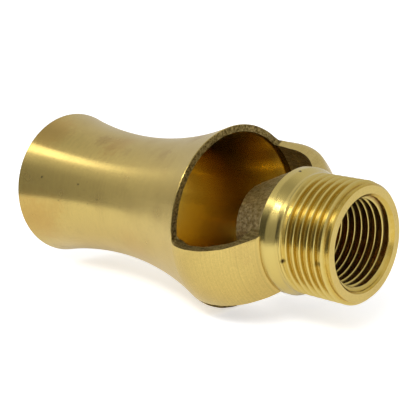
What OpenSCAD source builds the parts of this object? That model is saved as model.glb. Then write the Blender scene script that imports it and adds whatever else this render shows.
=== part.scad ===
// Open venturi nozzle in brass: a threaded inlet neck carries a hub with a screwed-in jet,
// two ribs lead from the hub past two open side windows to a waisted tube with a flared outlet.
// The axis is X. The origin is the centre of the inlet face, and the flow runs towards -X.

/* [Inlet neck] */
// Outside (major) radius of the male pipe thread, G 3/4
male_thread_r = 13.22; // [12.9:0.01:13.3]
// Distance from the inlet face to the end of the plain stretch behind the male thread
male_end = 13.1; // [11:0.1:14]
// Length of the chamfer that leads into the male thread
male_chamfer = 1; // [0.5:0.1:1.5]
// Outer radius of the flat ring at the inlet face
face_outer_r = 12.3; // [11.8:0.1:12.6]
// Wall radius of the bore, which is the minor radius of the female pipe thread, G 1/2
bore_r = 9.32; // [9.2:0.01:9.4]
// Distance from the inlet face to the end of the female thread
female_end = 16.5; // [14:0.5:16.5]
// Radius of the countersink at the inlet face
countersink_r = 10.6; // [10.2:0.1:11]
// Radius of the plain turned collar behind the male thread
collar_r = 14.1; // [13.8:0.05:14.4]
// Distance from the inlet face to where the taper from the thread reaches the collar
collar_start = 15.4; // [14.4:0.1:16]
// Distance from the inlet face to the back of the collar, where the windows begin
collar_end = 17.2; // [16.8:0.1:18]

/* [Hub and jet] */
// Distance from the inlet face to the free end of the hub
hub_end = 28; // [26:0.1:29]
// Outer radius of the hub at its root, beside the collar
hub_root_r = 13.9; // [13.4:0.1:14]
// Outer radius of the hub at its free end
hub_tip_r = 9.2; // [8.8:0.1:10]
// Wall radius of the narrower bore that the jet screws into
jet_bore_r = 8.6; // [8.2:0.1:9]
// Distance from the inlet face to the shoulder that the jet seats on
jet_seat = 21; // [20.5:0.5:22]
// Radius of the hub's smooth bore beyond the shoulder
seat_bore_r = 7.2; // [6.9:0.1:7.8]
// Length of the jet's threaded head
jet_head_length = 4; // [3:0.5:4]
// Radius of the jet's orifice
orifice_r = 4.5; // [3:0.1:5.5]
// Radius of the jet's funnel where the water enters
funnel_r = 6.6; // [6:0.1:6.8]
// Width of the driver slots in the jet's head
slot_width = 2; // [1.5:0.1:3]

/* [Bulge, ribs and windows] */
// Largest outer radius of the bulge
bulge_r = 22.1; // [21.8:0.1:22.6]
// Distance from the inlet face to the widest place of the bulge
bulge_z = 31.5; // [31:0.1:32.5]
// Radius of the arc that rounds the bulge towards the neck
bulge_arc_r = 17.6; // [17.2:0.1:18.5]
// Wall thickness of the ribs, as cast
rib_wall = 2.1; // [1.8:0.1:3]
// Width of each rib, between its two parallel sides
rib_width = 15.4; // [12:0.1:20]
// Distance from the inlet face to the far edge of the windows
window_end = 35.74; // [34:0.1:37]
// Angle of the first window's centre, from +Z towards -Y
window_angle = 27.6; // [0:0.1:360]
// Distance from the inlet face to the bottom of the pocket round the hub
pocket_floor = 20.4; // [19.5:0.1:22]
// How far the pocket's core sat off the axis, towards the lower rib
core_shift = 0.7; // [0:0.1:1]

/* [Bell] */
// Length from the inlet face to the outlet
total_length = 95.5; // [85:0.5:110]
// Outer radius at the waist
waist_r = 15.1; // [14.5:0.1:16]
// Distance from the inlet face to the waist
waist_z = 69.2; // [66:0.1:72]
// Radius of the outside curve between the bulge and the waist
throat_arc_r = 91; // [85:1:100]
// Radius of the outside curve between the waist and the outlet
flare_arc_r = 106; // [95:1:130]
// Wall thickness of the bell
bell_wall = 1.7; // [1.4:0.1:2.2]
// Radius of the turned land just inside the windows
land_r = 19.6; // [19.4:0.1:19.9]
// Distance from the inlet face to the start of the land
land_start = 34.2; // [33:0.1:35]
// Distance from the inlet face to the end of the land
land_end = 36.8; // [36.4:0.1:38]

/* [Hidden] */
$fn = 96;

// Straight pieces in each curved stretch of a turned outline
arc_steps = 20;
// Straight pieces in the short crest of the bulge
crest_steps = 4;
// Overlap that keeps joined solids and cutters from sharing a face
lap = 0.5;
// Length of the small step at the end of the land
land_step = 0.4;
// Clearance between the jet's head or nose and the bore round it
jet_clearance = 0.05;
// Chamfer on the edges of the jet
jet_chamfer = 0.4;
// Depth of the jet's driver slots
slot_depth = 1.5;
// Length of the straight part of the orifice
orifice_length = 2;
// Gap between the jet's nose and the plane of the hub's end
nose_setback = 0.2;
// Fall of the bulge's outside from its crest to where the bell's curve takes over
crest_drop = bulge_r - bell_r(window_end);
// Length of that side of the bulge
crest_run = window_end - bulge_z;
// The arc's radius, from its length and its fall
crest_arc_r = (crest_run * crest_run + crest_drop * crest_drop) / (2 * crest_drop);
// Half the size of a cutter that passes right through the part
far = 30;

// How far an arc of radius r has fallen from its crest at distance d
function arc_fall(d, r) = r - sqrt(r * r - d * d);
// Outer radius of the bell at distance z from the inlet face
function bell_r(z) = waist_r + arc_fall(z - waist_z, z < waist_z ? throat_arc_r : flare_arc_r);
// Outer radius of the bulge at distance z from the inlet face
function bulge_outer_r(z) = bulge_r - arc_fall(z - bulge_z, z < bulge_z ? bulge_arc_r : crest_arc_r);
// Where the bulge's arc meets the collar
bulge_start = bulge_z - sqrt(pow(bulge_arc_r, 2) - pow(bulge_arc_r - bulge_r + collar_r, 2));
// Evenly spaced places from a to b
function places(a, b, n) = [for (i = [0:n]) a + (b - a) * i / n];

// Turns an outline of [distance from inlet face, radius] points about the axis
module turned(outline) {
    rotate([0, -90, 0])
        rotate_extrude()
            polygon([for (p = outline) [p[1], p[0]]]);
}

// A round bar or hole from distance a to distance b, with end radii ra and rb
module round_bar(a, b, ra, rb) {
    rotate([0, -90, 0])
        translate([0, 0, a])
            cylinder(h = b - a, r1 = ra, r2 = rb);
}

// The outside of the casting from the collar to the outlet, as a solid
module outer_form() {
    turned(concat(
        [[bulge_start - lap, 0], [bulge_start - lap, collar_r]],
        [for (z = places(bulge_start, bulge_z - lap, arc_steps)) [z, bulge_outer_r(z)]],
        [for (z = places(bulge_z, window_end - lap, crest_steps)) [z, bulge_outer_r(z)]],
        [for (z = places(window_end, total_length, 2 * arc_steps)) [z, bell_r(z)]],
        [[total_length, 0]]
    ));
}

// The turned inside of the bell, from the land to the outlet
module bell_bore() {
    turned(concat(
        [[land_start, 0], [land_start, land_r], [land_end - land_step, land_r]],
        [for (z = places(land_end, total_length + lap, 2 * arc_steps)) [z, bell_r(z) - bell_wall]],
        [[total_length + lap, 0]]
    ));
}

// The pocket between the hub and the ribs, as the sand core left it
module pocket() {
    inner_arc_r = bulge_arc_r - rib_wall;
    centre_r = bulge_r - bulge_arc_r;
    rotate([window_angle, 0, 0])
        translate([0, -core_shift, 0])
            turned(concat(
                [[pocket_floor, 0]],
                [for (z = places(pocket_floor, land_start + lap, arc_steps))
                    [z, centre_r + sqrt(pow(inner_arc_r, 2) - pow(z - bulge_z, 2))]],
                [[land_start + lap, 0]]
            ));
}

// Both side windows, which leave two parallel-sided ribs between them
module windows() {
    window_start = bulge_start - 2 * lap;
    for (side = [0, 180])
        rotate([window_angle + side, 0, 0])
            translate([-window_end, -far, rib_width / 2])
                cube([window_end - window_start, 2 * far, far]);
}

// The hub that stands in the middle of the windows and holds the jet
module hub() {
    round_bar(collar_end, hub_end, hub_root_r, hub_tip_r);
}

// The neck with its male thread as a plain cylinder, and the taper to its collar
module neck() {
    turned([
        [0, 0],
        [0, face_outer_r],
        [male_chamfer, male_thread_r],
        [male_end, male_thread_r],
        [collar_start, collar_r],
        [collar_end, collar_r],
        [collar_end, 0]
    ]);
}

// The bore through the neck and hub, with its countersink and the jet's shoulder
module inlet_bore() {
    countersink_depth = countersink_r - bore_r;
    round_bar(-lap, 0, countersink_r + lap, countersink_r);
    round_bar(0, countersink_depth, countersink_r, bore_r);
    round_bar(-lap, female_end, bore_r, bore_r);
    round_bar(female_end - lap, jet_seat, jet_bore_r, jet_bore_r);
    round_bar(jet_seat - lap, hub_end + lap, seat_bore_r, seat_bore_r);
}

// The brass casting: neck, hub, ribs, bulge and bell in one piece
module body_casting() {
    color([0.78, 0.64, 0.33])
        difference() {
            union() {
                difference() {
                    outer_form();
                    bell_bore();
                    pocket();
                    windows();
                }
                neck();
                hub();
            }
            inlet_bore();
        }
}

// The screwed brass jet, which narrows the stream before the chamber
module jet_insert() {
    head_r = jet_bore_r - jet_clearance;
    nose_r = seat_bore_r - jet_clearance;
    front = jet_seat - jet_head_length;
    nose_end = hub_end - nose_setback;
    color([0.84, 0.70, 0.38])
        difference() {
            turned([
                [front, 0],
                [front, head_r - jet_chamfer],
                [front + jet_chamfer, head_r],
                [jet_seat, head_r],
                [jet_seat, nose_r],
                [nose_end - jet_chamfer, nose_r],
                [nose_end, nose_r - jet_chamfer],
                [nose_end, 0]
            ]);
            turned([
                [front - lap, 0],
                [front - lap, funnel_r],
                [front, funnel_r],
                [nose_end - orifice_length, orifice_r],
                [nose_end - orifice_length, 0]
            ]);
            round_bar(front, nose_end + lap, orifice_r, orifice_r);
            translate([-front - slot_depth, -slot_width / 2, -jet_bore_r])
                cube([slot_depth + lap, slot_width, 2 * jet_bore_r]);
        }
}

body_casting();
jet_insert();
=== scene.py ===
"""Looks of an open brass venturi nozzle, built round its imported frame.

The axis is X, the origin is the centre of the inlet face, and the flow runs towards -X. Distances along
the axis are counted from the inlet face in millimetres, and meshes turn them to metres as they are built.
"""

from __future__ import annotations

import logging
import math
from dataclasses import dataclass, field
from enum import Enum
from typing import Any, Callable, Sequence

import bmesh
import bpy
import numpy as np
from mathutils import Matrix, Vector, noise

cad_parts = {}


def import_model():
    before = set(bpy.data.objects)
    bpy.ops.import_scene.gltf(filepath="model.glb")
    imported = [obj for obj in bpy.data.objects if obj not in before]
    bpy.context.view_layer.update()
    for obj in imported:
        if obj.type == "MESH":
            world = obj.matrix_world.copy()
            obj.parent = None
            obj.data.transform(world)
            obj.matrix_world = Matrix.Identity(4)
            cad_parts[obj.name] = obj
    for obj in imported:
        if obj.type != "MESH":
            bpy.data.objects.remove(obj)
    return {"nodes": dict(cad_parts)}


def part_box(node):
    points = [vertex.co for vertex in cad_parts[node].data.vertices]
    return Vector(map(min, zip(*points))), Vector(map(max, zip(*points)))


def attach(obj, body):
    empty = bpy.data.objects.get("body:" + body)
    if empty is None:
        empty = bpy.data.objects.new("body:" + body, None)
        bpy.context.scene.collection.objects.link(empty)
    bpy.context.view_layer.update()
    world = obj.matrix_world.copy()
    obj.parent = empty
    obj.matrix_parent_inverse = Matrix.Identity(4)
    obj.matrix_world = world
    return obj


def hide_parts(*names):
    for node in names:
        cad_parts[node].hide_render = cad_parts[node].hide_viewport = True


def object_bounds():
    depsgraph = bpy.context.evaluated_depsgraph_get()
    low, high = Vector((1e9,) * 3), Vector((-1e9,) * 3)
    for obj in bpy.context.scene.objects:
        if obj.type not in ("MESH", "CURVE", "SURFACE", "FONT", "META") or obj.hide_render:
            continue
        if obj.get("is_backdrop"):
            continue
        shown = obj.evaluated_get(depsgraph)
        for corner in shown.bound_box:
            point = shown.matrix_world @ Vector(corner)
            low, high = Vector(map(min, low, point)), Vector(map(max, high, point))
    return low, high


LOG = logging.getLogger("venturi_nozzle")
MM = 0.001
BODY = "root"
CASTING = "body_casting"
JET = "jet_insert"

# Corners closer than this are welded, and shorter edges than this are taken out.
WELD_GAP = 0.002 * MM
SLIVER = 0.001 * MM
# Edges that turn by more than this angle are sharp, in degrees.
CREASE = 35.0
# Turns stretched highlights from round the axis to along it.
QUARTER_TURN = 0.25
WHITE = (1.0, 1.0, 1.0, 1.0)

Grid = np.ndarray
Tree = bpy.types.NodeTree
Socket = bpy.types.NodeSocket
Pair = tuple[float, float]
Place = tuple[float, float, float]


class Surface(Enum):
    """The kinds of surface on the brass, in the order of the casting's material slots."""

    TURNED = 0
    CAST = 1
    BORE = 2
    CUT = 3
    SAWN = 4


def mix(a: Grid | float, b: Grid | float, t: Grid | float) -> Grid:
    """Returns the value between a and b at share t."""
    return a * (1.0 - t) + b * t


def steps(start: float, stop: float, most: float) -> Grid:
    """Spaces places evenly from start to stop.

    Args:
        start: First place, in millimetres.
        stop: Last place, in millimetres.
        most: Largest gap between two places, in millimetres.

    Returns:
        The places, with both ends.
    """
    count = max(1, math.ceil(abs(stop - start) / most))
    return np.linspace(start, stop, count + 1)


def srgb(code: str) -> tuple[float, float, float, float]:
    """Turns an sRGB hex colour to the linear colour that shaders take.

    Args:
        code: Six hex digits, such as "d8b86a".

    Returns:
        Linear red, green and blue, and an alpha of 1.
    """
    parts = [int(code[i : i + 2], 16) / 255 for i in (0, 2, 4)]
    linear = [p / 12.92 if p <= 0.04045 else ((p + 0.055) / 1.055) ** 2.4 for p in parts]
    return (*linear, 1.0)


@dataclass
class Skin:
    """Collects the grids of one closed mesh and welds them."""

    name: str
    grids: list[tuple[Grid, Surface]] = field(default_factory=list)

    def add(self, points: Grid, surface: Surface, closed: bool = False) -> None:
        """Adds a grid of points.

        Args:
            points: Array of rows by columns by three, in millimetres.
            surface: The kind of surface that the grid's faces are.
            closed: True if the last column joins the first.
        """
        if closed:
            points = np.concatenate([points, points[:, :1]], axis=1)
        self.grids.append((points, surface))

    def build(self, materials: Sequence[bpy.types.Material], grain: Grain) -> bpy.types.Object:
        """Welds the grids into one object, roughens its cast and sawn faces and sets its sharp edges.

        Args:
            materials: One material for each kind of surface, in order.
            grain: The sand grain that the cast and sawn faces get.

        Returns:
            The new object.
        """
        corners, faces, slots, base = [], [], [], 0
        for points, surface in self.grids:
            rows, columns = points.shape[:2]
            index = base + np.arange(rows * columns).reshape(rows, columns)
            quads = np.stack([index[:-1, :-1], index[:-1, 1:], index[1:, 1:], index[1:, :-1]], axis=-1)
            corners.append(points.reshape(-1, 3))
            faces.append(quads.reshape(-1, 4))
            slots.append(np.full((rows - 1) * (columns - 1), surface.value))
            base += rows * columns
        mesh = bpy.data.meshes.new(self.name)
        mesh.from_pydata((np.concatenate(corners) * MM).tolist(), [], np.concatenate(faces).tolist())
        mesh.polygons.foreach_set("material_index", np.concatenate(slots).astype(np.int32))
        for material in materials:
            mesh.materials.append(material)
        form = bmesh.new()
        form.from_mesh(mesh)
        bmesh.ops.remove_doubles(form, verts=form.verts, dist=WELD_GAP)
        bmesh.ops.dissolve_degenerate(form, edges=form.edges, dist=SLIVER)
        bmesh.ops.recalc_face_normals(form, faces=form.faces)
        form.normal_update()
        grain.roughen(form)
        form.to_mesh(mesh)
        form.free()
        mesh.polygons.foreach_set("use_smooth", np.ones(len(mesh.polygons), bool))
        mesh.set_sharp_from_angle(angle=math.radians(CREASE))
        made = bpy.data.objects.new(self.name, mesh)
        bpy.context.scene.collection.objects.link(made)
        return made


@dataclass(frozen=True)
class Grain:
    """The uneven skin that a sand mould leaves, as lumps and finer grains.

    Attributes:
        stretch: How tightly the pattern runs along the axis, where less than 1 draws it out lengthwise.
    """

    lump: float = 2.2
    lump_height: float = 0.10
    grit: float = 0.55
    grit_height: float = 0.045
    stretch: float = 1.0

    def height(self, place: Vector) -> float:
        """Returns how far the skin stands out at a place, in metres."""
        place = Vector((place.x * self.stretch, place.y, place.z))
        lumps = noise.noise(place / (self.lump * MM)) * self.lump_height
        grits = noise.noise(place / (self.grit * MM)) * self.grit_height
        return (lumps + grits) * MM

    def roughen(self, form: bmesh.types.BMesh) -> None:
        """Moves the corners of cast and sawn faces in or out, by less where they border a turned face."""
        moves = []
        rough = (Surface.CAST.value, Surface.SAWN.value)
        for corner in form.verts:
            count = sum(f.material_index in rough for f in corner.link_faces)
            if count:
                share = count / len(corner.link_faces)
                moves.append((corner, corner.normal * self.height(corner.co) * share))
        for corner, move in moves:
            corner.co += move


@dataclass(frozen=True)
class Outline:
    """The turned and cast outlines of the casting, as radii along the axis."""

    waist_r: float = 15.1
    waist: float = 69.2
    throat_arc: float = 91.0
    flare_arc: float = 106.0
    bulge_r: float = 22.08
    bulge: float = 31.5
    bulge_arc: float = 17.6
    window_end: float = 35.74
    collar_r: float = 14.1
    collar_start: float = 15.4
    collar_end: float = 17.2
    rib_wall: float = 2.1
    bell_wall: float = 1.7
    land_r: float = 19.7
    land_start: float = 34.2
    land_end: float = 36.8
    land_fade: float = 5.0

    def bell(self, place: Grid) -> Grid:
        """Returns the bell's outside radius at distances from the inlet face."""
        off = np.asarray(place, float) - self.waist
        arc = np.where(off < 0, self.throat_arc, self.flare_arc)
        return self.waist_r + arc - np.sqrt(arc**2 - off**2)

    def outside(self, place: Grid) -> Grid:
        """Returns the outside radius of the bulge and the bell at distances from the inlet face."""
        place = np.asarray(place, float)
        fall = self.bulge_r - float(self.bell(self.window_end))
        run = self.window_end - self.bulge
        crest = (run**2 + fall**2) / (2 * fall)
        off = place - self.bulge
        arc = np.where(off < 0, self.bulge_arc, crest)
        near = self.bulge_r - arc + np.sqrt(np.maximum(arc**2 - off**2, 0.0))
        return np.where(place < self.window_end, near, self.bell(place))

    def bore(self, place: Grid) -> Grid:
        """Returns the radius inside the land and the bell at distances from the inlet face."""
        past = np.maximum(np.asarray(place, float) - self.land_end, 0.0)
        rise = self.land_r - (float(self.bell(self.land_end)) - self.bell_wall)
        inner = self.bell(place) - self.bell_wall + rise * np.exp(-past / self.land_fade)
        return np.where(past > 0.0, inner, self.land_r)

    def pocket(self, place: Grid) -> Grid:
        """Returns the radius of the cast pocket round the hub, about the core's own axis."""
        arc = self.bulge_arc - self.rib_wall
        off = np.asarray(place, float) - self.bulge
        return self.bulge_r - self.bulge_arc + np.sqrt(arc**2 - off**2)

    @property
    def foot(self) -> float:
        """Distance from the inlet face to where the bulge's arc meets the collar."""
        drop = self.bulge_arc - self.bulge_r + self.collar_r
        return self.bulge - math.sqrt(self.bulge_arc**2 - drop**2)


@dataclass
class BellAndRibs:
    """The flared tube with its bulge and the two ribs that lead to the neck, as one closed skin.

    Attributes:
        shift_run: Length over which the core's shift builds up from the land.
        hidden_r: Radius inside the hub where the ribs' skin closes unseen.
        settle: Length behind the windows over which the rows straighten.
        tuck: How far the ribs' outer foot dips under the collar.
        lip_shares: Places of the corners across the wall at the outlet.
    """

    outline: Outline
    length: float
    window_angle: float = 27.6
    rib_half: float = 7.7
    corner_r: float = 0.9
    pocket_floor: float = 20.4
    core_shift: float = 0.7
    shift_run: float = 3.0
    hidden_r: float = 11.6
    lip_chamfer: float = 0.25
    rim_chamfer: float = 0.08
    rim_fade: float = 3.0
    rim_wear: float = 0.16
    edge_wave: float = 0.10
    edge_wave_length: float = 2.6
    edge_wave_fade: float = 1.5
    rim_seed: float = 3.0
    rib_seed: float = 9.0
    side_seeds: Pair = (-2.0, 2.0)
    soft_edge: float = 1.0
    soft_run: float = 3.5
    rib_cells: int = 56
    window_cells: int = 180
    wall_cells: int = 8
    settle: float = 3.5
    rim_rows: int = 16
    tube_gap: float = 0.9
    turned_gap: float = 0.2
    cast_gap: float = 0.26
    floor_gap: float = 0.4
    land_step: float = 0.03
    tuck: float = 0.3
    lip_shares: tuple[float, ...] = (0.0, 0.16, 0.5, 0.84, 1.0)

    def place(self, along: Grid, out: Grid, across: Grid) -> Grid:
        """Puts points into the part's frame.

        Args:
            along: Distances from the inlet face.
            out: Distances from the axis towards the first window.
            across: Distances from the axis towards the lower rib.

        Returns:
            Points, with X, Y and Z as the last dimension.
        """
        turn = math.radians(self.window_angle)
        along, out, across = np.broadcast_arrays(along, out, across)
        y = -out * math.sin(turn) - across * math.cos(turn)
        z = out * math.cos(turn) - across * math.sin(turn)
        return np.stack([-along, y, z], axis=-1)

    def ring_angles(self, radius: float) -> tuple[Grid, Grid]:
        """Spaces the columns round one ring, so that the ribs' columns line up below it.

        Args:
            radius: Radius at which the ribs' sides are measured.

        Returns:
            Angles from the lower rib towards the first window, and which columns lie in a window.
        """
        shares = np.linspace(-1, 1, self.rib_cells + 1)
        lean = np.arcsin(shares * self.rib_half / radius)
        first = np.linspace(lean[-1], math.pi - lean[-1], self.window_cells + 1)[1:-1]
        angles = np.concatenate([lean, first, math.pi + lean, first + math.pi])
        rib = np.ones(len(lean), bool)
        window = np.zeros(len(first), bool)
        return angles, ~np.concatenate([rib, window, rib, window])

    def rim(self, radius: float) -> Grid:
        """Returns where the skin starts in each column: the window's edge with its rounded corners."""
        angles, in_window = self.ring_angles(radius)
        clear = np.abs(radius * np.sin(angles)) - self.rib_half
        inside = np.clip(self.corner_r - clear, 0.0, self.corner_r)
        fillet = self.corner_r - np.sqrt(self.corner_r**2 - inside**2)
        start = self.outline.window_end - self.corner_r
        wave = self.wave(angles * radius, self.rim_seed) * np.clip(clear / self.corner_r, 0, 1)
        return np.where(in_window, self.outline.window_end - fillet + wave, start)

    def wave(self, run: Grid, seed: float) -> Grid:
        """Returns how far a sawn edge wanders, at lengths run along it, in millimetres."""
        flat = np.asarray(run, float).ravel()
        drift = [noise.noise(Vector((r / self.edge_wave_length, seed, 0.0))) for r in flat]
        return np.array(drift).reshape(np.shape(run)) * self.edge_wave

    def tube(self, radius_at: Callable[[Grid], Grid], reference: float, stop: float, ease: float) -> Grid:
        """Makes one side of the tube's wall, from the windows' edges to a straight end.

        Args:
            radius_at: Gives the wall's radius at distances from the inlet face.
            reference: Radius at which the ribs' sides are measured.
            stop: Where the wall ends.
            ease: How much the wall's radius grows at the windows' edge, as a small chamfer or wear.

        Returns:
            Grid of points, by rows along the axis.
        """
        angles, in_window = self.ring_angles(reference)
        rim = self.rim(reference)
        settled = self.outline.window_end + self.settle
        rows = [mix(rim, settled, t) for t in np.linspace(0, 1, self.rim_rows + 1)[:-1]]
        rows += [np.full(len(angles), p) for p in steps(settled, stop, self.tube_gap)]
        along = np.array(rows)
        radius = radius_at(along)
        clear = np.abs(reference * np.sin(angles)) - self.rib_half
        radius[0] += ease * np.clip(clear / self.rim_fade, 0.0, 1.0) * in_window
        return self.place(along, radius * np.sin(angles), radius * np.cos(angles))

    def rib_rows(self) -> tuple[Grid, Grid, Grid, Grid]:
        """Pairs the rib's outside rows with its inside rows, from the windows' edge to the neck.

        Returns:
            Outside distances, inside distances, inside radii and the core's shift, row by row.
        """
        line = self.outline
        start = line.window_end - self.corner_r
        turned = steps(start, line.land_start + self.land_step, self.turned_gap)
        cast = steps(line.land_start, self.pocket_floor, self.cast_gap)
        floor_r = float(line.pocket(self.pocket_floor))
        floor = steps(floor_r, self.hidden_r, self.floor_gap)[1:]
        along = np.concatenate([turned, cast, np.full(len(floor), self.pocket_floor)])
        radius = np.concatenate([np.full(len(turned), line.land_r), line.pocket(cast), floor])
        shift = self.core_shift * np.clip((line.land_start - along) / self.shift_run, 0.0, 1.0)
        return np.linspace(start, line.foot, len(along)), along, radius, shift

    def add_rib(self, skin: Skin, side: int) -> None:
        """Adds one rib.

        Args:
            skin: The skin that the rib belongs to.
            side: 1 for the lower rib, -1 for the upper rib.
        """
        outer, inner, inner_r, shift = self.rib_rows()
        shares = np.linspace(-1, 1, self.rib_cells + 1)
        outer_r = self.outline.outside(outer)
        outer_r[-1] -= self.tuck
        halves = []
        for along in (outer, inner):
            fade = np.clip((along[0] - along) / self.edge_wave_fade, 0.0, 1.0)
            low, high = (self.wave(along, self.rib_seed * side + s) * fade for s in self.side_seeds)
            half = np.where(shares < 0, low[:, None], high[:, None]) * np.abs(shares) ** 3
            halves.append(shares * (self.rib_half + half))
        outer_v = side * (np.sqrt(outer_r[:, None] ** 2 - halves[0] ** 2) - self.worn(outer, shares, side))
        inner_v = side * np.sqrt(inner_r[:, None] ** 2 - halves[1] ** 2) + shift[:, None]
        outside = self.place(outer[:, None], halves[0], outer_v)
        inside = self.place(inner[:, None], halves[1], inner_v)
        skin.add(outside, Surface.TURNED)
        skin.add(inside, Surface.CAST)
        shares = np.linspace(0, 1, self.wall_cells + 1)[None, :, None]
        for edge in (0, -1):
            worn_smooth = side < 0 and edge < 0
            surface = Surface.TURNED if worn_smooth else Surface.SAWN
            skin.add(mix(outside[:, edge, None], inside[:, edge, None], shares), surface)
        skin.add(mix(outside[-1, :, None], inside[-1, :, None], shares), Surface.CAST)

    def worn(self, along: Grid, shares: Grid, side: int) -> Grid:
        """Rounds off the upper rib's edge beside the first window.

        Args:
            along: Distances of the rib's rows from the inlet face.
            shares: Places across the rib, from -1 to 1.
            side: 1 for the lower rib, -1 for the upper rib.

        Returns:
            How far each point drops towards the axis, row by row.
        """
        clear = np.clip((1 - shares) * self.rib_half, 0.0, self.soft_edge)
        round_off = self.soft_edge - np.sqrt(self.soft_edge**2 - (self.soft_edge - clear) ** 2)
        fade = np.clip((along[0] - along) / self.soft_run, 0.0, 1.0)
        return (side < 0) * fade[:, None] * round_off[None, :]

    def build(self, materials: Sequence[bpy.types.Material]) -> bpy.types.Object:
        """Builds the skin.

        Args:
            materials: One material for each kind of surface, in order.

        Returns:
            The finished object.
        """
        line = self.outline
        skin = Skin("bell_and_ribs")
        start = line.window_end - self.corner_r
        outer_ref, inner_ref = float(line.outside(start)), line.land_r
        stop = self.length - self.lip_chamfer
        outside = self.tube(line.outside, outer_ref, stop, -self.rim_wear)
        inside = self.tube(line.bore, inner_ref, stop, self.rim_chamfer)
        skin.add(outside, Surface.TURNED, closed=True)
        skin.add(inside, Surface.BORE, closed=True)
        skin.add(self.lip(outside[-1], inside[-1]), Surface.TURNED, closed=True)
        shares = np.linspace(0, 1, self.wall_cells + 1)[:, None, None]
        first = self.rib_cells
        second = 2 * first + self.window_cells
        for begin in (first, second):
            columns = np.arange(begin, begin + self.window_cells + 1) % outside.shape[1]
            skin.add(mix(outside[0, columns][None], inside[0, columns][None], shares), Surface.SAWN)
        self.add_rib(skin, 1)
        self.add_rib(skin, -1)
        return skin.build(materials, Grain())

    def lip(self, outside: Grid, inside: Grid) -> Grid:
        """Closes the wall at the outlet with a flat ring between two small chamfers."""
        wall = np.array(self.lip_shares)[:, None, None]
        ring = mix(outside[None], inside[None], wall)
        ring[1:-1, :, 0] = -self.length
        return ring


@dataclass(frozen=True)
class PipeThread:
    """A parallel pipe thread, worn to narrow rounded crests over wide flat roots.

    Attributes:
        lead: Where the first groove starts, from the inlet face.
        rows: How many rows of points one pitch has.
        depth_share: The groove's depth, as a share of the pitch.
        crest_share: The share of each half turn that the flat of the crest takes.
        root_share: The share of each half turn that the flat of the root takes.
        round_share: How much the flanks ease into crest and root, from 0 to 1.
        run_in: Length over which the groove gains its depth.
        run_out: Length over which the groove fades.
    """

    pitch: float = 1.814
    lead: float = 0.25
    rows: int = 18
    depth_share: float = 0.46
    crest_share: float = 0.08
    root_share: float = 0.48
    round_share: float = 0.45
    run_in: float = 0.1
    run_out: float = 1.3

    def depth(self, along: Grid, angle: Grid, start: float, stop: float) -> Grid:
        """Returns how deep the groove is.

        Args:
            along: Distances from the inlet face.
            angle: Angles round the axis, in radians.
            start: Where the thread begins.
            stop: Where the thread ends, after fading over its run-out.

        Returns:
            Depths below the crest, in millimetres.
        """
        phase = ((along - self.lead) / self.pitch + angle / (2 * math.pi)) % 1.0
        valley = 1.0 - np.abs(2.0 * phase - 1.0)
        slope = 1.0 - self.crest_share - self.root_share
        flank = np.clip((valley - self.crest_share) / slope, 0.0, 1.0)
        eased = mix(flank, 0.5 - 0.5 * np.cos(math.pi * flank), self.round_share)
        fade_out = np.clip((stop - along) / self.run_out, 0.0, 1.0)
        fade_in = np.clip((along - start) / self.run_in, 0.0, 1.0)
        return self.depth_share * self.pitch * eased * (fade_out * fade_in)


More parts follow.
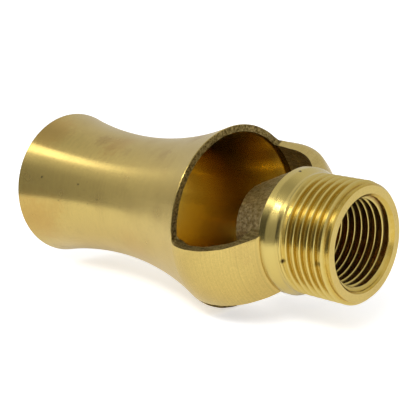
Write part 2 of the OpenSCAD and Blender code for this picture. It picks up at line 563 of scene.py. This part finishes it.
@dataclass
class NeckAndHub:
    """The threaded neck, its collar, and the hub that stands in the windows, as one closed skin."""

    outline: Outline
    male_r: float
    bore_r: float
    male_chamfer: float = 1.0
    male_stop: float = 12.9
    male_end: float = 13.4
    face_r: float = 12.3
    countersink_r: float = 10.6
    female_end: float = 16.5
    jet_bore_r: float = 8.6
    jet_seat: float = 21.0
    seat_bore_r: float = 7.2
    collar_bevel: float = 0.5
    hub_root_r: float = 13.9
    hub_tip_r: float = 9.2
    hub_end: float = 28.0
    female_tail: float = 0.6
    hub_gap: float = 0.3
    face_gap: float = 0.5
    hidden_gap: float = 0.8
    columns: int = 256
    thread: PipeThread = PipeThread()

    def turn(self, skin: Skin, outline: Sequence[Pair], most: float, surface: Surface) -> None:
        """Adds a turned stretch.

        Args:
            skin: The skin that the stretch belongs to.
            outline: Distances and radii at the stretch's corners.
            most: Largest gap between two rows.
            surface: The kind of surface.
        """
        rows = [np.array(outline[:1], float)]
        for a, b in zip(outline, outline[1:]):
            gap = math.dist(a, b)
            shares = steps(0, gap, most)[1:, None] / gap
            rows.append(mix(np.array(a), np.array(b), shares))
        along, radius = np.concatenate(rows).T
        self.sweep(skin, along[:, None], radius[:, None], surface)

    def sweep(self, skin: Skin, along: Grid, radius: Grid, surface: Surface) -> None:
        """Adds rows of points round the axis at the given distances and radii."""
        angle = self.angles()
        along, radius = np.broadcast_arrays(along, radius + 0 * angle)
        points = np.stack([-along, -radius * np.sin(angle), radius * np.cos(angle)], axis=-1)
        skin.add(points, surface)

    def angles(self) -> Grid:
        """Returns the columns' angles round the axis, from 0 to a full turn with both ends."""
        return np.linspace(0, 2 * math.pi, self.columns + 1)

    def helix(self, stop: float) -> Grid:
        """Spaces rows that follow the thread's helix, cut off flat at both ends.

        Args:
            stop: Where the last rows end.

        Returns:
            Distances from the inlet face, by rows and columns.
        """
        pitch, rows = self.thread.pitch, self.thread.rows
        count = math.ceil((stop / pitch + 1) * rows)
        along = pitch * (np.arange(count + 1)[:, None] / rows - self.angles() / (2 * math.pi))
        return np.clip(along, 0.0, stop)

    def add_male_thread(self, skin: Skin) -> None:
        """Adds the outside thread with its lead-in chamfer."""
        along = self.helix(self.male_end)
        chamfer = self.face_r + (self.male_r - self.face_r) * np.clip(along / self.male_chamfer, 0, 1)
        cut = self.male_r - self.thread.depth(along, self.angles(), 0.0, self.male_stop)
        self.sweep(skin, along, np.minimum(chamfer, cut), Surface.CUT)

    def add_female_thread(self, skin: Skin) -> None:
        """Adds the inside thread with its countersink."""
        along = self.helix(self.female_end)
        sink = self.countersink_r - along
        stop = self.female_end - self.female_tail
        cut = self.bore_r + self.thread.depth(along, self.angles(), 0.0, stop)
        self.sweep(skin, along, np.maximum(sink, cut), Surface.CUT)

    def build(self, materials: Sequence[bpy.types.Material]) -> bpy.types.Object:
        """Builds the skin.

        Args:
            materials: One material for each kind of surface, in order.

        Returns:
            The finished object.
        """
        line = self.outline
        skin = Skin("neck_and_hub")
        self.add_male_thread(skin)
        taper = (self.hub_root_r - self.hub_tip_r) / (self.hub_end - line.collar_end)
        root = (line.collar_end + self.collar_bevel, self.hub_root_r - taper * self.collar_bevel)
        collar = [(self.male_end, self.male_r), (line.collar_start, line.collar_r),
                  (line.collar_end, line.collar_r), root]
        self.turn(skin, collar, self.face_gap, Surface.CUT)
        hub = [root, (self.hub_end, self.hub_tip_r), (self.hub_end, self.seat_bore_r)]
        self.turn(skin, hub, self.hub_gap, Surface.CAST)
        seat = [(self.hub_end, self.seat_bore_r), (self.jet_seat, self.seat_bore_r),
                (self.jet_seat, self.jet_bore_r), (self.female_end, self.jet_bore_r),
                (self.female_end, self.bore_r)]
        self.turn(skin, seat, self.hidden_gap, Surface.BORE)
        self.add_female_thread(skin)
        face = [(0.0, self.countersink_r), (0.0, self.face_r)]
        self.turn(skin, face, self.face_gap, Surface.TURNED)
        return skin.build(materials, Grain(lump=3.0, grit=0.8, grit_height=0.09, stretch=0.12))


def add(tree: Tree, kind: str, inputs: dict[Any, Any], **settings: Any) -> bpy.types.Node:
    """Adds one node with its settings and links.

    Args:
        tree: The node tree.
        kind: The node's type.
        inputs: Values or output sockets, by the name or index of the input socket.
        settings: Attributes of the node.

    Returns:
        The new node.
    """
    made = tree.nodes.new(kind)
    for name, value in settings.items():
        setattr(made, name, value)
    for key, value in inputs.items():
        if isinstance(value, Socket):
            tree.links.new(value, made.inputs[key])
        else:
            made.inputs[key].default_value = value
    return made


def ramp(tree: Tree, value: Socket, ends: Pair, levels: Pair = (0.0, 1.0), eased: bool = False) -> Socket:
    """Turns a value into a level that is held past both ends of its ramp.

    Args:
        tree: The node tree.
        value: The value that goes in.
        ends: The values where the ramp begins and ends.
        levels: The levels there.
        eased: True if the ramp eases in and out.

    Returns:
        The level.
    """
    inputs = {"Value": value, "From Min": ends[0], "From Max": ends[1],
              "To Min": levels[0], "To Max": levels[1]}
    made = add(tree, "ShaderNodeMapRange", inputs, interpolation_type="SMOOTHSTEP" if eased else "LINEAR")
    return made.outputs[0]


def calc(tree: Tree, operation: str, first: Socket, second: Socket | float) -> Socket:
    """Returns what one sum or comparison of two numbers gives."""
    return add(tree, "ShaderNodeMath", {0: first, 1: second}, operation=operation).outputs[0]


def vector(tree: Tree, operation: str, first: Socket, second: Socket | Place) -> bpy.types.Node:
    """Returns a node that works on two vectors."""
    return add(tree, "ShaderNodeVectorMath", {0: first, 1: second}, operation=operation)


def scaled(tree: Tree, first: Socket, scale: Socket | float) -> Socket:
    """Returns a vector or colour times a number."""
    return add(tree, "ShaderNodeVectorMath", {0: first, "Scale": scale}, operation="SCALE").outputs[0]


def blend(tree: Tree, share: Socket, first: Any, second: Any, kind: str = "RGBA") -> Socket:
    """Returns the colour, or the number if kind is FLOAT, between the first and the second."""
    inputs = {"Factor": share, "A": first, "B": second}
    return add(tree, "ShaderNodeMix", inputs, data_type=kind).outputs["Result"]


def speckle(tree: Tree, places: Socket, size: float, detail: float, roughness: float = 0.5) -> Socket:
    """Draws an uneven pattern in space.

    Args:
        tree: The node tree.
        places: Places in metres.
        size: Size of the pattern's patches, in millimetres.
        detail: How many finer layers are added.
        roughness: How strong the finer patches are.

    Returns:
        The pattern, 0.5 on average.
    """
    inputs = {"Vector": places, "Scale": 1 / (size * MM), "Detail": detail, "Roughness": roughness}
    return add(tree, "ShaderNodeTexNoise", inputs).outputs["Fac"]


def rings(tree: Tree, along: Socket, size: float, detail: float) -> Socket:
    """Draws uneven rings round the axis, with their spacing in millimetres."""
    inputs = {"W": along, "Scale": 1 / (size * MM), "Detail": detail}
    return add(tree, "ShaderNodeTexNoise", inputs, noise_dimensions="1D").outputs["Fac"]


def axes(tree: Tree, places: Socket) -> bpy.types.NodeOutputs:
    """Returns the three distances of places, by the names of their axes."""
    return add(tree, "ShaderNodeSeparateXYZ", {0: places}).outputs


@dataclass(frozen=True)
class Mark:
    """A spot on the turned skin, by its distance from the inlet face and its angle from the top."""

    along: float
    angle: float
    size: float
    strength: float
    neck_r: float = 12.9

    def centre(self, line: Outline) -> Vector:
        """Returns the spot's centre on the casting's outside, in metres."""
        turn = math.radians(self.angle)
        radius = float(line.outside(self.along)) if self.along > line.collar_end else self.neck_r
        return Vector((-self.along, -radius * math.sin(turn), radius * math.cos(turn))) * MM


@dataclass(frozen=True)
class Finish:
    """What all the brass finishes share: a name, a colour and a roughness."""

    name: str
    colour: str
    roughness: float
    edge_grain: float = 900.0
    spot_core: float = 0.3

    def begin(self) -> tuple[bpy.types.Material, Tree, bpy.types.Node, Socket]:
        """Starts a metal material.

        Returns:
            The material, its node tree, its shader and the socket of places in metres.
        """
        material = bpy.data.materials.new(self.name)
        material.use_nodes = True
        tree = material.node_tree
        shader = tree.nodes["Principled BSDF"]
        shader.inputs["Metallic"].default_value = 1.0
        shader.inputs["Roughness"].default_value = self.roughness
        shader.inputs["Base Color"].default_value = srgb(self.colour)
        places = add(tree, "ShaderNodeTexCoord", {}).outputs["Object"]
        return material, tree, shader, places

    def stretch(self, tree: Tree, shader: bpy.types.Node, amount: float) -> None:
        """Stretches highlights along the axis, as the tool's rings round it do."""
        shader.inputs["Anisotropic"].default_value = amount
        shader.inputs["Anisotropic Rotation"].default_value = QUARTER_TURN
        tangent = add(tree, "ShaderNodeTangent", {}, direction_type="RADIAL", axis="X")
        tree.links.new(tangent.outputs[0], shader.inputs["Tangent"])

    def emboss(self, tree: Tree, shader: bpy.types.Node, height: Socket, depth: float,
               strength: float = 1.0) -> None:
        """Adds relief.

        Args:
            tree: The material's tree.
            shader: Its shader.
            height: A pattern that is high where the metal stands out.
            depth: The pattern's full height, in millimetres.
            strength: The share of the relief that shows.
        """
        bump = add(tree, "ShaderNodeBump", {"Height": height, "Distance": depth * MM, "Strength": strength})
        tree.links.new(bump.outputs[0], shader.inputs["Normal"])

    def spots(self, tree: Tree, places: Socket, marks: Sequence[Mark], ragged: float) -> Socket:
        """Draws spots.

        Args:
            tree: The material's tree.
            places: Places in metres.
            marks: The spots.
            ragged: How far the spots' edges wander, in millimetres.

        Returns:
            The spots' strength, from 0 to 1.
        """
        grain = add(tree, "ShaderNodeTexNoise", {"Vector": places, "Scale": self.edge_grain, "Detail": 3.0})
        wander = vector(tree, "SUBTRACT", grain.outputs["Color"], (0.5, 0.5, 0.5)).outputs[0]
        moved = vector(tree, "ADD", places, scaled(tree, wander, 2 * ragged * MM)).outputs[0]
        line = Outline()
        total: Any = 0.0
        for mark in marks:
            gap = vector(tree, "DISTANCE", moved, mark.centre(line)).outputs["Value"]
            edges = (mark.size * MM, self.spot_core * mark.size * MM)
            spot = ramp(tree, gap, edges, (0.0, mark.strength), eased=True)
            total = calc(tree, "MAXIMUM", total, spot)
        return total


@dataclass(frozen=True)
class TurnedBrass(Finish):
    """Cast brass turned to a satin skin: fine rings round the axis, which stretch highlights along it."""

    anisotropy: float = 0.75
    # Rings are about 0.1 mm apart on the part, and drawn 0.3 mm apart so that they show.
    ring: float = 0.30
    wide_ring: float = 2.4
    ring_height: float = 0.0012
    # Metal grain is about 0.1 mm, and drawn 0.45 mm wide so that it shows.
    grain: float = 0.45
    grain_tones: Pair = (0.90, 1.06)
    cloud: float = 7.0
    cloud_share: float = 0.16
    uneven_polish: Pair = (0.92, 1.1)
    stain: str = "9a7440"
    stain_edge: float = 2.2
    pit: str = "3c2c16"
    pit_edge: float = 0.12
    # Orange patches, partly tarnish and partly painted shade on the flare's lower side and just above its
    # bright streak.
    tarnish_and_shade_colour: str = "b98238"
    tarnish_and_shade_edge: float = 4.0
    stains: tuple[Mark, ...] = ()
    tarnish_and_shade: tuple[Mark, ...] = ()
    pits: tuple[Mark, ...] = ()

    def make(self) -> bpy.types.Material:
        """Builds the material."""
        material, tree, shader, places = self.begin()
        along = axes(tree, places)["X"]
        fine = rings(tree, along, self.ring, detail=2.0)
        wide = rings(tree, along, self.wide_ring, detail=1.0)
        cloud = speckle(tree, places, self.cloud, detail=4.0)
        grain = speckle(tree, places, self.grain, detail=3.0)
        clouded = ramp(tree, cloud, (0.5, 0.8), (0.0, self.cloud_share))
        base = blend(tree, clouded, srgb(self.colour), srgb(self.stain))
        tone = ramp(tree, calc(tree, "ADD", fine, grain), (0.7, 1.3), self.grain_tones)
        colour = scaled(tree, base, tone)
        # The orange patches are partly tarnish and partly painted shade.
        for marks, ragged, shade in ((self.stains, self.stain_edge, self.stain),
                                     (self.tarnish_and_shade, self.tarnish_and_shade_edge, self.tarnish_and_shade_colour),
                                     (self.pits, self.pit_edge, self.pit)):
            if marks:
                colour = blend(tree, self.spots(tree, places, marks, ragged), colour, srgb(shade))
        tree.links.new(colour, shader.inputs["Base Color"])
        smooth, dull = self.uneven_polish
        rough = ramp(tree, cloud, (0.3, 0.7), (self.roughness * smooth, self.roughness * dull))
        tree.links.new(rough, shader.inputs["Roughness"])
        self.stretch(tree, shader, self.anisotropy)
        self.emboss(tree, shader, calc(tree, "ADD", fine, wide), self.ring_height)
        return material


@dataclass(frozen=True)
class CastBrass(Finish):
    """Brass as the sand mould left it: dull brown skin, lighter on its high grains."""

    high: str = "c2ae74"
    grain: float = 0.45
    streak: float = 0.6
    drawn_out: Place = (0.07, 1.0, 1.0)
    relief: float = 0.09
    relief_share: float = 0.9
    low_dullness: float = 0.1
    high_polish: float = 0.15

    def make(self) -> bpy.types.Material:
        """Builds the material."""
        material, tree, shader, places = self.begin()
        grit = speckle(tree, places, self.grain, detail=5.0, roughness=0.65)
        lengthwise = vector(tree, "MULTIPLY", places, self.drawn_out).outputs[0]
        streak = speckle(tree, lengthwise, self.streak, detail=3.0)
        both = calc(tree, "ADD", grit, streak)
        share = ramp(tree, both, (0.8, 1.3))
        colour = blend(tree, share, srgb(self.colour), srgb(self.high))
        tree.links.new(colour, shader.inputs["Base Color"])
        levels = (self.roughness + self.low_dullness, self.roughness - self.high_polish)
        tree.links.new(ramp(tree, share, (0.0, 1.0), levels), shader.inputs["Roughness"])
        self.emboss(tree, shader, both, self.relief, self.relief_share)
        return material


@dataclass(frozen=True)
class BoredBrass(Finish):
    """Brass bored with a sharp tool: smoother and deeper gold than the outside."""

    anisotropy: float = 0.85
    # The boring tool's rings are about 0.2 mm apart, and drawn 0.5 mm apart so that they show.
    ring: float = 0.5
    ring_height: float = 0.0007
    cloud: float = 5.0
    haze: str = "a88a34"
    haze_share: float = 0.5

    def make(self) -> bpy.types.Material:
        """Builds the material."""
        material, tree, shader, places = self.begin()
        marks = rings(tree, axes(tree, places)["X"], self.ring, detail=2.0)
        cloud = speckle(tree, places, self.cloud, detail=4.0)
        share = ramp(tree, cloud, (0.45, 0.75), (0.0, self.haze_share))
        colour = blend(tree, share, srgb(self.colour), srgb(self.haze))
        tree.links.new(colour, shader.inputs["Base Color"])
        self.emboss(tree, shader, marks, self.ring_height)
        self.stretch(tree, shader, self.anisotropy)
        return material


@dataclass(frozen=True)
class ThreadBrass(Finish):
    """Cut thread in brass: polished crests over darker amber grooves, and painted shade that turns the
    inside thread's grooves dark red-brown.
    """

    groove: str = "c4a448"
    inner_groove_shade: str = "7a4c1c"
    groove_dullness: float = 0.02
    groove_patches: float = 1.1
    groove_patch_levels: Pair = (0.55, 1.0)
    pit: str = "3c2c16"
    pit_edge: float = 0.1
    pits: tuple[Mark, ...] = ()
    male_root: float = 12.5
    male_crest: float = 13.1
    female_crest: float = 9.45
    female_root: float = 10.1
    sink_depth: float = 1.5
    # Scratches of the die are about 0.1 mm apart, and drawn 0.35 mm apart so that they show.
    scratch: float = 0.35
    scratch_depth: float = 0.006

    def make(self) -> bpy.types.Material:
        """Builds the material."""
        material, tree, shader, places = self.begin()
        across = vector(tree, "MULTIPLY", places, (0.0, 1 / MM, 1 / MM)).outputs[0]
        radius = add(tree, "ShaderNodeVectorMath", {0: across}, operation="LENGTH").outputs["Value"]
        male = ramp(tree, radius, (self.male_crest, self.male_root))
        female = ramp(tree, radius, (self.female_crest, self.female_root))
        groove_patches = ramp(tree, speckle(tree, places, self.groove_patches, detail=4.0), (0.3, 0.7), self.groove_patch_levels)
        share = calc(tree, "MULTIPLY", calc(tree, "MULTIPLY", male, female), groove_patches)
        # Painted shade: past the countersink, the inside thread's grooves take a dark red-brown.
        inside = calc(tree, "LESS_THAN", radius, 0.5 * (self.female_root + self.male_root))
        past_sink = calc(tree, "LESS_THAN", axes(tree, places)["X"], -self.sink_depth * MM)
        inner = calc(tree, "MULTIPLY", inside, past_sink)
        groove = blend(tree, inner, srgb(self.groove), srgb(self.inner_groove_shade))
        cut = blend(tree, share, srgb(self.colour), groove)
        pitted = self.spots(tree, places, self.pits, self.pit_edge)
        tree.links.new(blend(tree, pitted, cut, srgb(self.pit)), shader.inputs["Base Color"])
        rough = ramp(tree, share, (0.0, 1.0), (self.roughness, self.roughness + self.groove_dullness))
        tree.links.new(rough, shader.inputs["Roughness"])
        self.emboss(tree, shader, speckle(tree, places, self.scratch, detail=3.0), self.scratch_depth)
        return material


def sheet(name: str, material: str, corners: Sequence[Place]) -> tuple[bpy.types.Object, Tree]:
    """Adds a flat sheet with a new material.

    Args:
        name: The sheet's name.
        material: The material's name.
        corners: The sheet's four corners, in metres.

    Returns:
        The sheet and its material's tree.
    """
    mesh = bpy.data.meshes.new(name)
    mesh.from_pydata(corners, [], [(0, 1, 2, 3)])
    finish = bpy.data.materials.new(material)
    finish.use_nodes = True
    mesh.materials.append(finish)
    made = bpy.data.objects.new(name, mesh)
    bpy.context.scene.collection.objects.link(made)
    return made, finish.node_tree


@dataclass
class Studio:
    """The camera, the pale floor and the soft light round the part, with places in metres."""

    eye: Place = (0.12277, -0.17398, 0.05472)
    look: Place = (-0.6782, 0.7017, -0.2182)
    lens: float = 90.84
    sensor: float = 36.0
    nearest: float = 0.005
    floor_reach: float = 6.0
    floor_gap: float = 0.0002
    floor_grey: Place = (0.88, 0.88, 0.88)
    floor_roughness: float = 0.9
    pool: Place = (-0.09, 0.03, -0.02)
    pool_edge: Pair = (0.10, 0.5)
    pool_glow: Pair = (0.16, 0.36)
    shown_glow: float = 0.5
    key_centre: Place = (-0.04, -0.328, 0.338)
    key_size: Pair = (1.0, 0.095)
    key_power: float = 0.62
    end_centre: Place = (0.16, -0.34, 0.30)
    end_size: Pair = (0.26, 0.10)
    end_power: float = 1.25
    box_roll: float = -12.0
    card_y: float = -0.09
    card_reach: Pair = (-0.55, 0.12)
    card_fade: float = 0.045
    card_top: float = 0.085
    top_glow: float = 0.66
    core_outlet: Pair = (-0.115, -0.095)
    core_inlet: Pair = (-0.035, -0.055)
    core_glow: float = 0.05
    side_fade: Pair = (-0.13, -0.19)
    side_glow: Pair = (0.34, 0.68)
    sky_rise: Pair = (0.0, 0.5)
    sky_glow: Pair = (0.44, 0.82)
    sky_top: Pair = (0.6, 1.0)
    sky_top_share: Pair = (1.0, 0.5)
    sky_back: Pair = (-0.1, 0.5)
    sky_back_glow: float = 0.72
    shown_sky: float = 1.0

    def camera(self) -> None:
        """Adds the camera."""
        data = bpy.data.cameras.new("camera")
        data.lens = self.lens
        data.sensor_width = self.sensor
        data.clip_start = self.nearest
        made = bpy.data.objects.new("camera", data)
        made.location = self.eye
        made.rotation_euler = Vector(self.look).to_track_quat("-Z", "Y").to_euler()
        bpy.context.scene.collection.objects.link(made)
        bpy.context.scene.camera = made

    def floor(self, lowest: float) -> None:
        """Adds the pale floor just under the part's lowest point, with painted shade: its glow is dimmer in
        a pool round the part.
        """
        far = self.floor_reach
        level = lowest - self.floor_gap
        corners = [(-far, -far, level), (far, -far, level), (far, far, level), (-far, far, level)]
        # White paper that glows a little, so the part stands on white and has a soft contact shadow.
        made, tree = sheet("floor", "pale_floor", corners)
        shader = tree.nodes["Principled BSDF"]
        shader.inputs["Base Color"].default_value = (*self.floor_grey, 1.0)
        shader.inputs["Roughness"].default_value = self.floor_roughness
        shader.inputs["Emission Color"].default_value = WHITE
        places = add(tree, "ShaderNodeTexCoord", {}).outputs["Object"]
        # Painted shade: the floor glows less in a pool round the part.
        away = vector(tree, "DISTANCE", places, self.pool).outputs["Value"]
        glow = ramp(tree, away, self.pool_edge, self.pool_glow, eased=True)
        seen = add(tree, "ShaderNodeLightPath", {}).outputs["Is Camera Ray"]
        strength = blend(tree, seen, glow, self.shown_glow, "FLOAT")
        tree.links.new(strength, shader.inputs["Emission Strength"])
        made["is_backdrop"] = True

    def card(self, lowest: float) -> None:
        """Adds the grey card that stands low in front, darkest in its middle, which only reflections see."""
        left, right = self.card_reach
        corners = [(left, lowest), (right, lowest), (right, self.card_top), (left, self.card_top)]
        # Grey card: the brass mirrors it as the darker flank under its bright streak.
        made, tree = sheet("dark_card", "dark_card", [(x, self.card_y, z) for x, z in corners])
        tree.nodes.remove(tree.nodes["Principled BSDF"])
        place = axes(tree, add(tree, "ShaderNodeTexCoord", {}).outputs["Object"])
        begin = ramp(tree, place["X"], self.core_outlet, eased=True)
        end = ramp(tree, place["X"], self.core_inlet, eased=True)
        core = calc(tree, "MULTIPLY", begin, end)
        height = ramp(tree, place["Z"], (self.card_fade, self.card_top))
        side = ramp(tree, place["X"], self.side_fade, self.side_glow)
        low = blend(tree, core, side, self.core_glow, "FLOAT")
        level = blend(tree, height, low, self.top_glow, "FLOAT")
        glow = add(tree, "ShaderNodeEmission", {"Strength": level})
        tree.links.new(glow.outputs[0], tree.nodes["Material Output"].inputs["Surface"])
        made.visible_camera = False
        made.visible_diffuse = False
        made.visible_shadow = False
        made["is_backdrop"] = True

    def sky(self) -> None:
        """Lights the part from all round: softer and darker in front and low, brighter behind."""
        world = bpy.data.worlds.new("studio")
        bpy.context.scene.world = world
        world.use_nodes = True
        tree = world.node_tree
        way = axes(tree, add(tree, "ShaderNodeTexCoord", {}).outputs["Generated"])
        rising = ramp(tree, way["Z"], self.sky_rise, self.sky_glow)
        overhead = ramp(tree, way["Z"], self.sky_top, self.sky_top_share, eased=True)
        front = calc(tree, "MULTIPLY", rising, overhead)
        back = ramp(tree, way["Y"], self.sky_back, eased=True)
        level = blend(tree, back, front, self.sky_back_glow, "FLOAT")
        seen = add(tree, "ShaderNodeLightPath", {}).outputs["Is Camera Ray"]
        background = tree.nodes["Background"]
        tree.links.new(blend(tree, seen, level, self.shown_sky, "FLOAT"), background.inputs["Strength"])
        background.inputs["Color"].default_value = WHITE

    def softbox(self, name: str, centre: Place, size: Pair, power: float) -> None:
        """Adds a long softbox that faces the axis, whose reflection runs along the part as a streak.

        Args:
            name: The light's name.
            centre: Its middle, in metres.
            size: Its length along the part and its width, in metres.
            power: Its power, in watts.
        """
        data = bpy.data.lights.new(name, "AREA")
        data.shape = "RECTANGLE"
        data.size, data.size_y = size
        data.energy = power
        made = bpy.data.objects.new(name, data)
        away = Vector((0.0, *centre[1:])).normalized()
        turn = Matrix.Rotation(math.radians(self.box_roll), 3, away)
        side = turn @ Vector((1.0, 0.0, 0.0))
        facing = Matrix((side, away.cross(side), away)).transposed().to_4x4()
        made.matrix_world = Matrix.Translation(centre) @ facing
        bpy.context.scene.collection.objects.link(made)


def brass_finishes() -> list[bpy.types.Material]:
    """Makes the casting's materials, in the order of the Surface names."""
    stains = (Mark(76.0, 22, 3.2, 0.30), Mark(71.0, 31, 2.6, 0.22), Mark(64.3, 33, 2.2, 0.18),
              Mark(50.0, 34, 2.8, 0.22), Mark(44.0, 12, 4.0, 0.28))
    # Orange patches, partly tarnish and partly painted shade: on the flare's lower side and just above its
    # bright streak.
    tarnish_and_shade = (Mark(91.0, 112, 10.0, 0.32), Mark(84.0, 100, 5.0, 0.2), Mark(93.0, 30, 9.0, 0.3),
                 Mark(70.0, 25, 6.0, 0.22), Mark(56.0, 122, 7.0, 0.15))
    pits = (Mark(88.0, 74, 0.34, 1.0), Mark(75.5, 74, 0.30, 1.0), Mark(82.0, 92, 0.24, 0.8),
            Mark(68.0, 84, 0.24, 0.8), Mark(59.0, 86, 0.24, 0.7), Mark(73.0, 78, 0.22, 0.7),
            Mark(71.5, 90, 0.22, 0.7), Mark(72.5, 70, 0.22, 0.6), Mark(74.5, 84, 0.2, 0.6))
    neck_pits = (Mark(15.4, 12, 0.5, 1.0, 14.0), Mark(11.8, 106, 0.8, 1.0), Mark(2.5, 101, 0.95, 1.0))
    # Turned outside: satin pale gold, with streaks of light drawn along it, brown stains, dark pits, and
    # orange patches that are partly tarnish and partly painted shade.
    turned = TurnedBrass("turned_brass", "cdb469", 0.25, anisotropy=0.88, stains=stains,
                         tarnish_and_shade=tarnish_and_shade, pits=pits)
    # Sand-cast hub and pocket: dull and grainy, so it reads as raw metal beside the turned skin.
    cast = CastBrass("cast_brass", "7a6630", 0.48)
    # Bored inside of the bell: deep amber, because light reaches it only by way of more brass.
    bored = BoredBrass("bored_brass", "c3a13a", 0.20)
    # Cut threads and collar: bright crests and shoulders over darker amber grooves, with painted shade in
    # the inside thread's grooves.
    thread = ThreadBrass("cut_thread_brass", "cfb96c", 0.23, pits=neck_pits)
    # Sawn edges of the windows: a rough brown line that draws the openings' outline, its darker tone partly
    # painted shade.
    sawn = CastBrass("sawn_cast_brass", "56461f", 0.46, high="a8935c")
    return [turned.make(), cast.make(), bored.make(), thread.make(), sawn.make()]


def dress_jet(jet: bpy.types.Object) -> None:
    """Gives the jet, which stays as it was packed, its bright turned finish."""
    # Fresh turned brass: a cleaner, redder gold that sets the jet off from the hub round it.
    bright = TurnedBrass("bright_turned_brass", "d6ac55", 0.24, anisotropy=0.6).make()
    for place in jet.material_slots:
        place.material = bright


def main() -> None:
    """Builds the nozzle's pieces, its light and its camera."""
    logging.basicConfig(level=logging.INFO, format="%(name)s: %(message)s")
    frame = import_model()
    packed = [list(corner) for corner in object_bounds()]
    bpy.context.scene.view_settings.view_transform = "Standard"
    studio = Studio()
    studio.camera()
    line = Outline()
    finishes = brass_finishes()
    low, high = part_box(CASTING)
    bell = BellAndRibs(line, length=-low.x / MM)
    neck = NeckAndHub(line, male_r=13.22, bore_r=9.32)
    for builder in (bell, neck):
        piece = builder.build(finishes)
        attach(piece, BODY)
        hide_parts(CASTING)
        LOG.info("%s: %d faces", piece.name, len(piece.data.polygons))
    dress_jet(frame["nodes"][JET])
    LOG.info("%s: kept from the frame", JET)
    studio.floor(packed[0][2])
    studio.card(packed[0][2])
    studio.sky()
    studio.softbox("long_softbox", studio.key_centre, studio.key_size, studio.key_power)
    studio.softbox("end_softbox", studio.end_centre, studio.end_size, studio.end_power)


if __name__ == "__main__":
    main()
